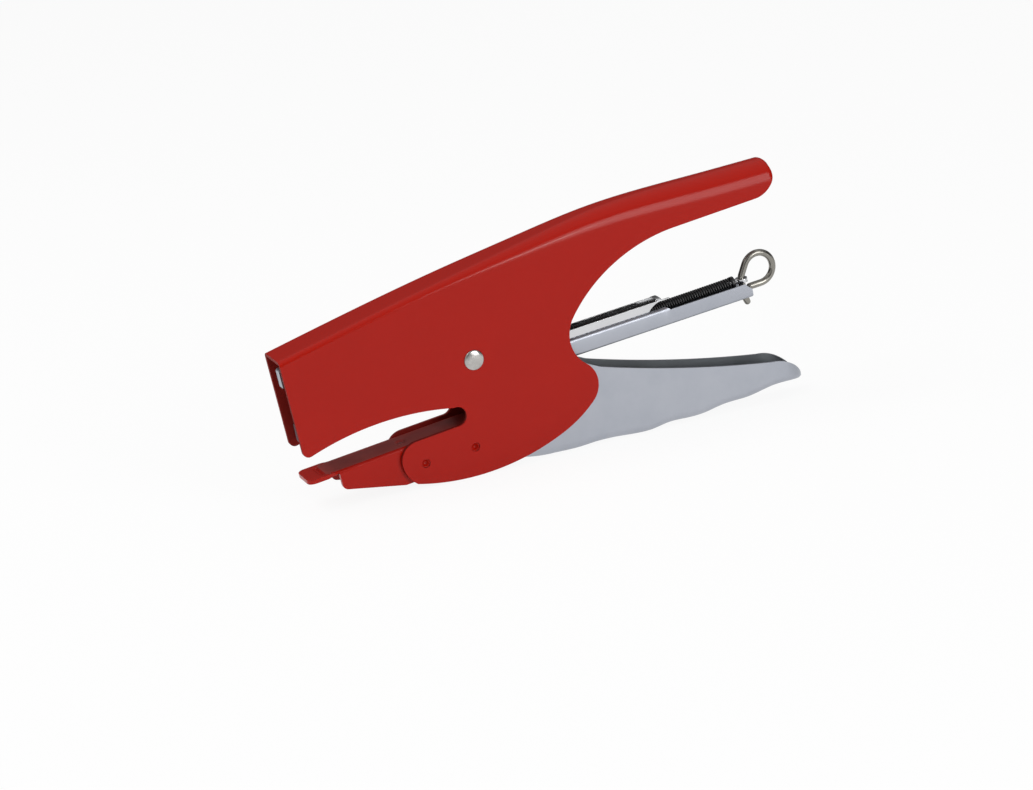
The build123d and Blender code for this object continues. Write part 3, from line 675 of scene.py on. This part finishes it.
# Sprayed gloss enamel: soft highlights with a faint orange peel about 1 mm across
enamel = finish_of(
    "red gloss enamel", "#ad1505", "#a71405", 18, (0.18, 0.21), 1.1, 0.0008, IOR=1.5, Specular_IOR_Level=0.2
)
# The same coat inside the pressing and on its cut edges: dull, and a darker red as painted shade for the shade
# inside the housing
painted_shade_enamel = finish_of(
    "red enamel with painted shade", "#92211a", "#741914", 9, (0.55, 0.66), 0.8, 0.002, IOR=1.5, Specular_IOR_Level=0.1
)
# The same coat on the anvil's upper face, duller and in a browner red: painted shade from the housing above and
# painted reflection of its dark underside
jaw_painted_shade = finish_of(
    "red enamel browned as painted shade",
    "#a83c36",
    "#8f322d",
    6,
    (0.34, 0.46),
    0.9,
    0.003,
    IOR=1.5,
    Specular_IOR_Level=0.3,
)
# Satin zinc: a grey metal, clouded, with rolling marks along the sheet, drawn coarse so that they show
zinc = finish_of(
    "satin zinc plate", "#b1b4bc", "#a2a6af", 9, (0.36, 0.46), 0.35, 0.0012, ROLLED, Metallic=1.0
)
# The same plate inside the lever, darker as painted shade for the shade inside the channel, with rolling marks
# along the sheet
painted_shade_zinc = finish_of(
    "zinc plate with painted shade", "#a4a8ac", "#868b90", 11, (0.34, 0.46), 0.5, 0.001, ROLLED, Metallic=1.0
)
# Bright nickel: near mirror with fine draw lines, drawn coarse so that they show
nickel = finish_of(
    "bright nickel plate", "#d9dadc", "#cbccce", 7, (0.14, 0.22), 0.3, 0.0006, ROLLED, Metallic=1.0
)
# Nickel on drawn wire: duller, greyer
wire_nickel = finish_of("nickel on drawn wire", "#98968f", "#827f79", 4, (0.2, 0.3), 0.3, 0.001, Metallic=1.0)
# Ground and oiled steel: darker grey, brownish where the oil lies
hard = finish_of("oiled hardened steel", "#5a595b", "#403d3b", 4, (0.28, 0.4), 0.25, 0.001, Metallic=1.0)
# Oil-tempered wire: a thin black oxide that still shines
black = finish_of("black oxide wire", "#1b1b1e", "#111113", 3, (0.28, 0.4), 0.3, 0.001, IOR=1.6)
# Rubbed nickel: the same metal dulled by handling
rubbed = finish_of("rubbed nickel plate", "#c9c7c4", "#a19f9b", 1.6, (0.2, 0.34), 0.3, 0.002, Metallic=1.0)
# Bright drawn wire: clean grey steel with a soft line of light along each turn
bright = finish_of("bright drawn wire", "#b9b9bd", "#a3a3a8", 4, (0.2, 0.3), 0.3, 0.001, Metallic=1.0)


# Pressed housing
def spine(reach):
    """Half width, top and corner radius of the pressing: splines through stations, drawn in round the end."""
    knots, tops, corners = np.array(SPINE).T
    past = np.clip(reach - HANDLE_END + END_ROUND, 0, END_ROUND)
    drawn = END_ROUND - np.sqrt(END_ROUND**2 - past**2)
    held = np.minimum(reach, knots[-1])
    top = spline(held, knots, tops) - drawn
    corner = np.clip(spline(held, knots, corners), *CORNER_RANGE) - drawn
    return HOUSING_HALF - drawn, top, corner


def pressed(pattern):
    """Bends the blank over the spine: flat top, a corner arc of varying radius, then straight down."""
    reach, across = pattern.T
    half, top, corner = spine(reach)
    side, drop, down = folded(np.abs(across), half, corner)
    return np.stack([reach, np.sign(across) * side, top - drop - down], 1)


def unbent(edge):
    """Where side view points of the housing lie on the blank: along the corner arc, or past it."""
    reach, up = edge.T
    half, top, corner = spine(reach)
    below = top - up
    on_arc = corner * np.arccos(np.clip(1 - below / corner, -1, 1))
    on_side = corner * QUARTER + below - corner
    return np.stack([reach, half - corner + np.where(below < corner, on_arc, on_side)], 1)


lower_edge = [
    straight(NOSE_TOP, NOSE_FOOT),
    onward(NOSE_FOOT, DOWN, NOSE_TOE, step=0.3)[0],
    through(NOSE_TOE, THROAT_ROOF, THROAT_TOP)[0],
    through(THROAT_TOP, THROAT_END, THROAT_FLOOR, step=0.5)[0],
    straight(THROAT_FLOOR, LUG_TOP),
    onward(LUG_TOP, FORWARD, LUG_FRONT)[0],
    onward(LUG_FRONT, DOWN, LUG_FOOT)[0],
]
belly, heading = through(LUG_FOOT, BELLY, BELLY_REAR)
lower_edge.append(belly)
for end in [*REAR_CORNERS, HANDLE_ROOT]:
    arc, heading = onward(lower_edge[-1][-1], heading, end)
    lower_edge.append(arc)
lower_edge.append(straight(HANDLE_ROOT, HANDLE_UNDER))
lower_edge.append(onward(HANDLE_UNDER, REARWARD, HANDLE_BACK)[0])
half_blank = unbent(distinct(np.concatenate(lower_edge))[1:])
front = straight((NOSE, 0), half_blank[0])[:-1]
back = straight(half_blank[-1], (HANDLE_END, 0))[1:]
outline = mirrored(np.concatenate([front, half_blank, back]))
rivet_loops = [unbent(ring_of(spot, RIVET_HOLE, 28)) for spot in RIVETS]
pin_loop = unbent(ring_of((0, 0), PIN_HOLE, 28))
holes = [loop * [1, sign] for loop in [*rivet_loops, pin_loop] for sign in (1, -1)]
rows = np.concatenate([np.arange(NOSE, LAST_ROW, ROW_STEP), END_ROWS])
half, _, corner = spine(rows)
flat = (half - corner)[:, None]
inner = np.concatenate(
    [
        by_row(rows, flat + corner[:, None] * np.linspace(0, QUARTER, BEND_POINTS)),
        by_row(rows, flat * TOP_SHARES),
        lattice(np.arange(NOSE, HANDLE_END, FACE_STEP), np.arange(*FACE_SPAN, FACE_STEP)),
    ]
)
inner = np.concatenate([inner, inner[inner[:, 1] > OFF_MIDDLE] * MIRROR])
pattern, faces = blank([outline, *holes], inner, margin=0.5)
piece(
    "pressed_housing",
    "frame",
    enamel,
    placed(pressed(pattern), BODY),
    faces,
    ["body_housing"],
    wall=SHEET,
    edge=HOUSING_EDGE,
    # inside and cut edges take the darker enamel: painted shade inside the pressing and along its edges
    inside=painted_shade_enamel,
    rims=1,
)


# Anvil arm: a channel bent from a blank with a tongue, and the clinching groove pressed into it
def arm_bend(reach):
    """Bend radius of the arm: nearly nothing on the tongue, smoothly opening to full size at the walls."""
    share = np.clip((reach - WALL_FRONT + BEND_RUNOUT) / BEND_RUNOUT, 0, 1)
    return TONGUE_BEND + (ARM_BEND - TONGUE_BEND) * share**2 * (3 - 2 * share)


def arm_form(pattern):
    """Bends the blank down both sides, and presses in a sloped dip along the groove and round the hole."""
    reach, across = pattern.T
    out = np.abs(across)
    side, drop, down = folded(out, ARM_HALF, arm_bend(reach))
    down = np.where(reach < WALL_FRONT - WALL_SLACK, 0, down)
    off_groove = np.hypot(reach - GROOVE, np.maximum(out - GROOVE_HALF, 0))
    off_hole = np.hypot(reach - ARM_HOLE[0], across)
    dip = GROOVE_DEPTH * np.clip((GROOVE_FLAT + GROOVE_SLOPE - off_groove) / GROOVE_SLOPE, 0, 1)
    dip += DIMPLE_DEPTH * np.clip((DIMPLE_RADIUS - off_hole) / DIMPLE_SLOPE, 0, 1)
    return np.stack([reach, np.sign(across) * side, ARM_TOP - drop - down - dip], 1)


def arm_wall(edge):
    """Where side view points of the arm's wall lie on its blank: their depth below the bend, past its arc."""
    return np.stack([edge[:, 0], past_bend(ARM_HALF, ARM_BEND) + ARM_TOP - ARM_BEND - edge[:, 1]], 1)


def painted_shade_face(back, across, up):
    """The arm's upper face behind the groove, which gets the painted shade and reflection."""
    return (up > ARM_TOP - SHADED_FACE_DEPTH) & (np.abs(across) < SHADED_FACE_HALF) & (back > SHADED_FACE_FRONT)


wall_corners = [
    (WALL_FRONT, WALL_TOP),
    (WALL_FRONT, WALL_FOOT),
    (WALL_KNEE, ARM_BOTTOM),
    (ARM_REAR, ARM_BOTTOM),
]
wall_edge = arm_wall(rounded(wall_corners, WALL_ROUND, step=0.35))
tongue_side = (TONGUE_FRONT, ARM_HALF - TONGUE_ROUND)
tongue_corner = (TONGUE_FRONT + TONGUE_ROUND, ARM_HALF)
half_blank = np.concatenate(
    [
        straight((TONGUE_FRONT, 0), tongue_side),
        onward(tongue_side, OUTWARD, tongue_corner, step=0.4)[0],
        straight(tongue_corner, (WALL_FRONT - NOTCH_LENGTH, ARM_HALF), (WALL_FRONT, ARM_HALF + NOTCH_STEP)),
        wall_edge,
        straight(wall_edge[-1], (ARM_REAR, 0)),
    ]
)
outline = mirrored(distinct(half_blank))
bends = (ARM_HALF - arm_bend(ARM_ROWS))[:, None] + arm_bend(ARM_ROWS)[:, None] * np.linspace(0, QUARTER, 6)
bends = by_row(ARM_ROWS, bends)
bends = bends[bends[:, 0] > WALL_FRONT - BEND_RUNOUT]
coarse = lattice(COARSE_ROWS, COARSE_COLUMNS)
coarse = coarse[np.abs(coarse[:, 0] - GROOVE) > GROOVE_CLEAR]
coarse = coarse[np.abs(np.abs(coarse[:, 1]) - ARM_HALF) > BEND_CLEAR]
coarse = coarse[np.linalg.norm(coarse - ARM_HOLE, axis=1) > HOLE_CLEAR]
coarse = coarse[clearance(coarse, outline) > OUTLINE_CLEAR]
dimple = np.concatenate([ring_of(ARM_HOLE, radius, 24) for radius in DIMPLE_RINGS])
inner = np.concatenate([lattice(GROOVE_ROWS, GROOVE_COLUMNS), coarse, dimple, bends, bends * MIRROR])
pattern, faces = blank([outline, ring_of(ARM_HOLE, ARM_HOLE_RADIUS, 24)], inner, margin=0.15)
arm = piece(
    "pressed_anvil_arm",
    "frame",
    enamel,
    placed(arm_form(pattern), BODY),
    faces,
    ["anvil_arm"],
    wall=SHEET,
    edge=ARM_EDGE,
)
# the upper face behind the groove takes the browner enamel as painted shade and reflection
second_finish(arm, jaw_painted_shade, BODY, painted_shade_face)

# Rivets: dished ends on the arm's two, a low dome on the pivot's
points, faces = joined(*[turned(mirrored(DISH), spot, 32) for spot in RIVETS])
piece(
    "dished_rivets",
    "frame",
    enamel,
    placed(points, BODY),
    faces,
    ["anvil_rivets"],
    closed=True,
)
sweep = np.linspace(QUARTER, 0, 14)
dome = np.stack([DOME_RADIUS * np.cos(sweep), HOUSING_HALF + DOME_FOOT + DOME_RISE * np.sin(sweep)], 1)
dome_seat = [
    (DOME_RADIUS + DOME_LIP, HOUSING_HALF + DOME_FOOT / 2),
    (DOME_RADIUS - DOME_LIP, HOUSING_HALF + DOME_GAP),
    (PIN_RADIUS, HOUSING_HALF + DOME_GAP),
    (PIN_RADIUS, PIN_INNER),
]
points, faces = turned(mirrored(np.concatenate([dome, dome_seat])), (0, 0), 64)
piece(
    "domed_rivet",
    "frame",
    rubbed,
    placed(points, BODY),
    faces,
    ["pivot_rivet"],
    closed=True,
)

# Squeeze lever
rim_line = np.concatenate(
    [
        straight(EAR_TOP, RIM_START),
        through(RIM_START, RIM_MIDDLE, RIM_REAR)[0],
        through(RIM_REAR, TAIL_RIM, TAIL_TIP, step=0.3)[0],
    ]
)


def grip(rows, columns):
    """The grip: a U section from rim to rim, set by underside, rim and plan width at each station."""
    low = spline(rows, *np.array(UNDERSIDE).T)
    rim = np.interp(rows, *rim_line.T)
    tail = np.clip((rows - TAIL_START) / (LEVER_TIP - TAIL_START), 0, 1)
    half = LEVER_HALF * np.sqrt(np.maximum(1 - tail**TAIL_POWER, 0))
    corner = np.minimum(DEPTH_SHARE * (rim - low), WIDTH_SHARE * half + LEAST_CORNER)
    corner = np.minimum(LEVER_CORNER, corner)
    girth = past_bend(half, corner) + rim - low - corner
    across = columns[None] * girth[:, None]
    side, turned_up, up = folded(np.abs(across), half[:, None], corner[:, None])
    back = np.repeat(rows[:, None], len(columns), axis=1)
    return np.stack([back, np.sign(across) * side, low[:, None] + turned_up + up], -1)


tail_rows = LEVER_TIP - (LEVER_TIP - TAIL_START) * np.linspace(1, 0, 40) ** TAIL_CROWDING
rows = np.concatenate([np.linspace(LEVER_FRONT, TAIL_START, 110)[:-1], tail_rows])
columns = np.linspace(-1, 1, 81)
cheek = straight(CHEEK_FOOT, CHEEK_FRONT, FORK_LOW, FORK_TOP, FORK_REAR, EAR_CROWN, EAR_TOP, CHEEK_FOOT)
cheek_loops = [distinct(cheek), ring_of((0, 0), PIVOT_HOLE, 32)]
flat, cheek_faces = blank(cheek_loops, np.array([FORK_INSIDE]), margin=0.5)
near = upright(flat, -LEVER_HALF)
web = [(back, side, up) for back, up in (FORK_TOP, FORK_REAR) for side in (-LEVER_HALF, LEVER_HALF)]
hook = rounded(HOOK_CORNERS, HOOK_BEND, step=0.15)
hook_columns = np.linspace(-HOOK_HALF, HOOK_HALF, 5)
tongue = np.stack(np.broadcast_arrays(hook[:, :1], hook_columns, hook[:, 1:]), -1)
points, faces = joined(
    (grip(rows, columns).reshape(-1, 3), lattice_faces(len(rows), len(columns))),
    (near, cheek_faces),
    (near * FAR_SIDE, cheek_faces[:, ::-1]),
    (np.array(web), np.array([[0, 2, 3, 1]])),
    (tongue.reshape(-1, 3), lattice_faces(len(hook), len(hook_columns))),
)
piece(
    "plated_lever",
    "lever",
    zinc,
    placed(points, BODY),
    faces,
    ["lever_handle"],
    wall=LEVER_SHEET,
    edge=LEVER_EDGE,
    # the inside of the channel takes the darker zinc as painted shade
    inside=painted_shade_zinc,
)


# Magazine and pusher: channels bent from a flat blank
def channel(pattern, half, bottom, bend, lip_top=None, lip_bend=None):
    """Bends a blank into a channel: floor, bend and wall, then a bend into a lip where it has one."""
    reach, across = pattern.T
    side, turned_up, rise = folded(np.abs(across), half, bend)
    up = bottom + turned_up + rise
    if lip_top is not None:
        wall = lip_top - lip_bend - bottom - bend
        over = np.clip((rise - wall) / lip_bend, 0, QUARTER)
        lip = np.maximum(rise - wall - lip_bend * QUARTER, 0)
        side = side - lip_bend * (1 - np.cos(over)) - lip
        up = bottom + turned_up + np.minimum(rise, wall) + lip_bend * np.sin(over)
    return np.stack([reach, np.sign(across) * side, up], 1)


def bend_rows(reaches, *spans):
    """Blank points along the middle line, and along the bends from (start, end) distances across."""
    across = np.concatenate([np.linspace(start, end, 7) for start, end in spans])
    return lattice(reaches, np.concatenate([across, -across, [0]]))


wall_start = past_bend(MAG_HALF, MAG_BEND)
wall_end = wall_start + MAG_TOP - LIP_BEND - MAG_BOTTOM - MAG_BEND
lip_start = wall_end + LIP_BEND * QUARTER
lip_end = lip_start + MAG_HALF - LIP_BEND - LIP_HALF
tail_top = wall_start + TAIL_WALL - MAG_BEND
tail_cut = tail_top - (MAG_REAR - TAIL_CUT)
half_blank = np.concatenate(
    [
        straight((MAG_FRONT, 0), (MAG_FRONT, lip_end), (LIPS_END, lip_end)),
        straight((LIPS_END, lip_end), (TAIL_STEP, tail_top), (TAIL_CUT, tail_top), (MAG_REAR, tail_cut)),
        straight((MAG_REAR, tail_cut), (MAG_REAR, SLOT_HALF), (LEG_REACH, SLOT_HALF)),
        ring_of((LEG_REACH, 0), SLOT_HALF, 40)[10:21],
    ]
)
outline = mirrored(distinct(half_blank))
reaches = np.arange(MAG_FRONT + BEND_STEP / 2, BENDS_END, BEND_STEP)
inner = bend_rows(reaches, (MAG_HALF - MAG_BEND, wall_start), (wall_end, lip_start))
pattern, faces = blank([outline], inner, margin=0.12)
ear = np.concatenate([EAR_FOOT, through((-EAR_ROUND, 0), (0, EAR_ROUND), (EAR_ROUND, 0))[0]])
flat, ear_faces = blank([ear, ring_of((0, 0), PIVOT_HOLE, 32)], np.array([EAR_INSIDE]), margin=0.3)
near = upright(flat, -MAG_HALF)
points, faces = joined(
    (channel(pattern, MAG_HALF, MAG_BOTTOM, MAG_BEND, MAG_TOP, LIP_BEND), faces[:, ::-1]),
    (near, ear_faces),
    (near * FAR_SIDE, ear_faces[:, ::-1]),
)
piece(
    "bent_magazine",
    "magazine",
    zinc,
    placed(points, MAGAZINE),
    faces,
    ["magazine_channel"],
    wall=MAG_SHEET,
    edge=MAG_EDGE,
)

wall_start = past_bend(PUSHER_HALF, PUSHER_BEND)
wall_top = wall_start + PUSHER_TOP - PUSHER_BOTTOM - PUSHER_BEND
ledge = (NEAR_START, -wall_start - NEAR_LEDGE)
near_tip = (NEAR_END - NEAR_TIP[0], NEAR_TIP[1] - wall_top)
outline = np.concatenate(
    [
        straight((PUSHER_FRONT, 0), (PUSHER_FRONT, wall_top), (FAR_END, wall_top)),
        straight((FAR_END, wall_top), (FAR_END, wall_top - FAR_DROP), (FLOOR_END, FLOOR_HALF)),
        straight((FLOOR_END, FLOOR_HALF), (FLOOR_END, 0)),
        straight((NEAR_START, 0), ledge),
        onward(ledge, NEAR_HEADING, near_tip, step=0.4)[0],
        straight((NEAR_END, -wall_top), (PUSHER_FRONT, -wall_top), (PUSHER_FRONT, 0)),
    ]
)
reaches = np.arange(PUSHER_FRONT + BEND_STEP / 2, NEAR_START, BEND_STEP)
inner = bend_rows(reaches, (PUSHER_HALF - PUSHER_BEND, wall_start))
pattern, faces = blank([distinct(outline)], inner, margin=0.12)
piece(
    "bent_trough",
    "pusher",
    nickel,
    placed(channel(pattern, PUSHER_HALF, PUSHER_BOTTOM, PUSHER_BEND), MAGAZINE),
    faces[:, ::-1],
    ["pusher_trough"],
    wall=PUSHER_SHEET,
    edge=PUSHER_EDGE,
)
along = np.linspace(0, 1, 5)[:, None]
over = np.linspace(-1, 1, 15)
strap = [STRAP_FRONT + STRAP_LENGTH * along, STRAP_HALF * over, STRAP_TOP - STRAP_FALL * over**4]
strap = np.stack(np.broadcast_arrays(*strap), -1)
piece(
    "pusher_strap",
    "pusher",
    nickel,
    placed(strap.reshape(-1, 3), MAGAZINE),
    lattice_faces(len(along), len(over)),
    wall=STRAP_SHEET,
    edge=PUSHER_EDGE,
)

# Springs of round wire: the close coil hangs on its rod between its two ends
spring_length = SPRING_REAR - SPRING_FRONT
points, faces = coil(
    (SPRING_FRONT, 0, ROD_LINE), (1, 0, 0), spring_length, SPRING_RADIUS, SPRING_TURNS, SPRING_WIRE
)
along = np.clip((points[:, 0] - SPRING_FRONT) / spring_length, 0, 1)
points[:, 2] -= SPRING_SAG * np.sqrt(np.sin(np.pi * along))
pusher_spring = piece(
    "close_coil",
    None,
    black,
    placed(points, MAGAZINE),
    faces,
    ["pusher_spring"],
    closed=True,
)
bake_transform(pusher_spring)

for name, node_name, reach, radius, turns, joint, keep in [
    ("clamp_coil", "clamp_spring", -30.0, 2.4, 5, "lever_squeeze", 0.72),
    ("return_coil", "return_spring", 16.0, 3.1, 7, "magazine_clamp", 0.91),
]:
    low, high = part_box(node_name)
    length = (high.z - low.z) / MM - SEAT_PLAY
    start = (reach, 0, SEAT_TOP + SEAT_LIFT)
    points, faces = coil(start, (0, 0, 1), length, radius, turns, SEAT_WIRE, steps=32, sides=10)
    spring = piece(
        name,
        "magazine",
        bright,
        placed(points, MAGAZINE),
        faces,
        [node_name],
        closed=True,
    )
    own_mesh(spring)

# Pull ring of round wire
angles = np.radians(np.linspace(*RING_SWEEP, 60))[:, None]
loop = RING_CENTRE + RING_RADIUS * np.concatenate([np.cos(angles), np.sin(angles)], 1)
leg = rounded([loop[-1], *LEG_CORNERS], LEG_BEND)
path = distinct(np.concatenate([straight(RING_START, loop[0], step=0.4)[:-1], loop, leg[1:]]))
points, faces = wire(upright(path, 0), RING_WIRE, 20)
piece(
    "wire_ring",
    "loader",
    wire_nickel,
    placed(points, MAGAZINE),
    faces,
    ["pull_ring"],
    closed=True,
)

# CAD nodes that stay as they are
for name, finish in [
    ("pivot_sleeve", hard),
    ("nose_plate", zinc),
    ("front_spring_seat", zinc),
    ("rear_spring_seat", zinc),
    ("driver_blade", hard),
    ("pusher_head", hard),
    ("guide_rod", nickel),
    ("rod_collar", black),
]:
    part = frame["nodes"][name]
    part.data.materials.clear()
    part.data.materials.append(finish)
    part.modifiers.new("merged", "WELD").merge_threshold = MERGED
    round_edges(part, NODE_EDGE)

# White floor: seen directly or mirrored it glows a little under white, and it keeps the object's shadow
floor_mesh = bpy.data.meshes.new("floor")
floor_corners = [(x * FLOOR_REACH, y * FLOOR_REACH, 0) for x, y in [(-1, -1), (1, -1), (1, 1), (-1, 1)]]
floor_mesh.from_pydata(floor_corners, [], [(0, 1, 2, 3)])
floor = bpy.data.objects.new("floor", floor_mesh)
bpy.context.scene.collection.objects.link(floor)
paper = bpy.data.materials.new("white paper sweep")
paper.use_nodes = True
tree = paper.node_tree
shader = tree.nodes["Principled BSDF"]
shader.inputs["Base Color"].default_value = linear("#ffffff")
shader.inputs["Roughness"].default_value = 0.9
shader.inputs["Specular IOR Level"].default_value = 0.1
rays = node(tree, "ShaderNodeLightPath").outputs
mirrored_too = node(
    tree,
    "ShaderNodeMath",
    {0: rays["Is Glossy Ray"], 1: rays["Is Transmission Ray"]},
    operation="MAXIMUM",
).outputs[0]
seen = node(
    tree, "ShaderNodeMath", {0: rays["Is Camera Ray"], 1: mirrored_too}, operation="MAXIMUM"
).outputs[0]
share = node(tree, "ShaderNodeMath", {0: seen, 1: FLOOR_GLOW}, operation="MULTIPLY").outputs[0]
glow = node(tree, "ShaderNodeEmission", {"Color": (1, 1, 1, 1), "Strength": 1.0}).outputs[0]
mixed = node(tree, "ShaderNodeMixShader", {0: share, 1: shader.outputs[0], 2: glow}).outputs[0]
tree.links.new(mixed, tree.nodes["Material Output"].inputs["Surface"])
floor_mesh.materials.append(paper)

# Room: dim to the sides and brighter overhead
world = bpy.data.worlds.new("studio")
bpy.context.scene.world = world
world.use_nodes = True
tree = world.node_tree
height = node(tree, "ShaderNodeTexCoord").outputs["Generated"]
rise = node(tree, "ShaderNodeSeparateXYZ", {0: height}).outputs["Z"]
room = node(
    tree,
    "ShaderNodeMapRange",
    {"Value": rise, "From Min": 0.35, "From Max": 0.95, "To Min": 0.08, "To Max": 0.75},
).outputs["Result"]
tree.links.new(room, tree.nodes["Background"].inputs["Color"])


def softbox(name, place, target, size, power):
    """Area light turned towards a target."""
    light = bpy.data.lights.new(name, "AREA")
    light.shape = "RECTANGLE"
    light.size, light.size_y = size
    light.energy = power
    lamp = bpy.data.objects.new(name, light)
    lamp.location = place
    lamp.rotation_euler = (Vector(target) - Vector(place)).to_track_quat("-Z", "Y").to_euler()
    bpy.context.scene.collection.objects.link(lamp)


for lamp in LAMPS:
    softbox(*lamp)

camera_data = bpy.data.cameras.new("camera")
camera_data.lens = CAMERA_LENS
camera_data.sensor_width = CAMERA_SENSOR
camera_data.sensor_fit = "HORIZONTAL"
camera = bpy.data.objects.new("camera", camera_data)
bpy.context.scene.collection.objects.link(camera)
sight = Vector(np.array(CAMERA_SIGHT) @ BODY).normalized()
right = sight.cross(Vector(np.array(CAMERA_UP) @ BODY)).normalized()
turned_to = Matrix((right, right.cross(sight), -sight)).transposed().to_4x4()
place = placed([CAMERA_PLACE], BODY)[0]
camera.matrix_world = Matrix.Translation(Vector(place)) @ turned_to
bpy.context.scene.camera = camera
bpy.context.scene.view_settings.view_transform = "Standard"
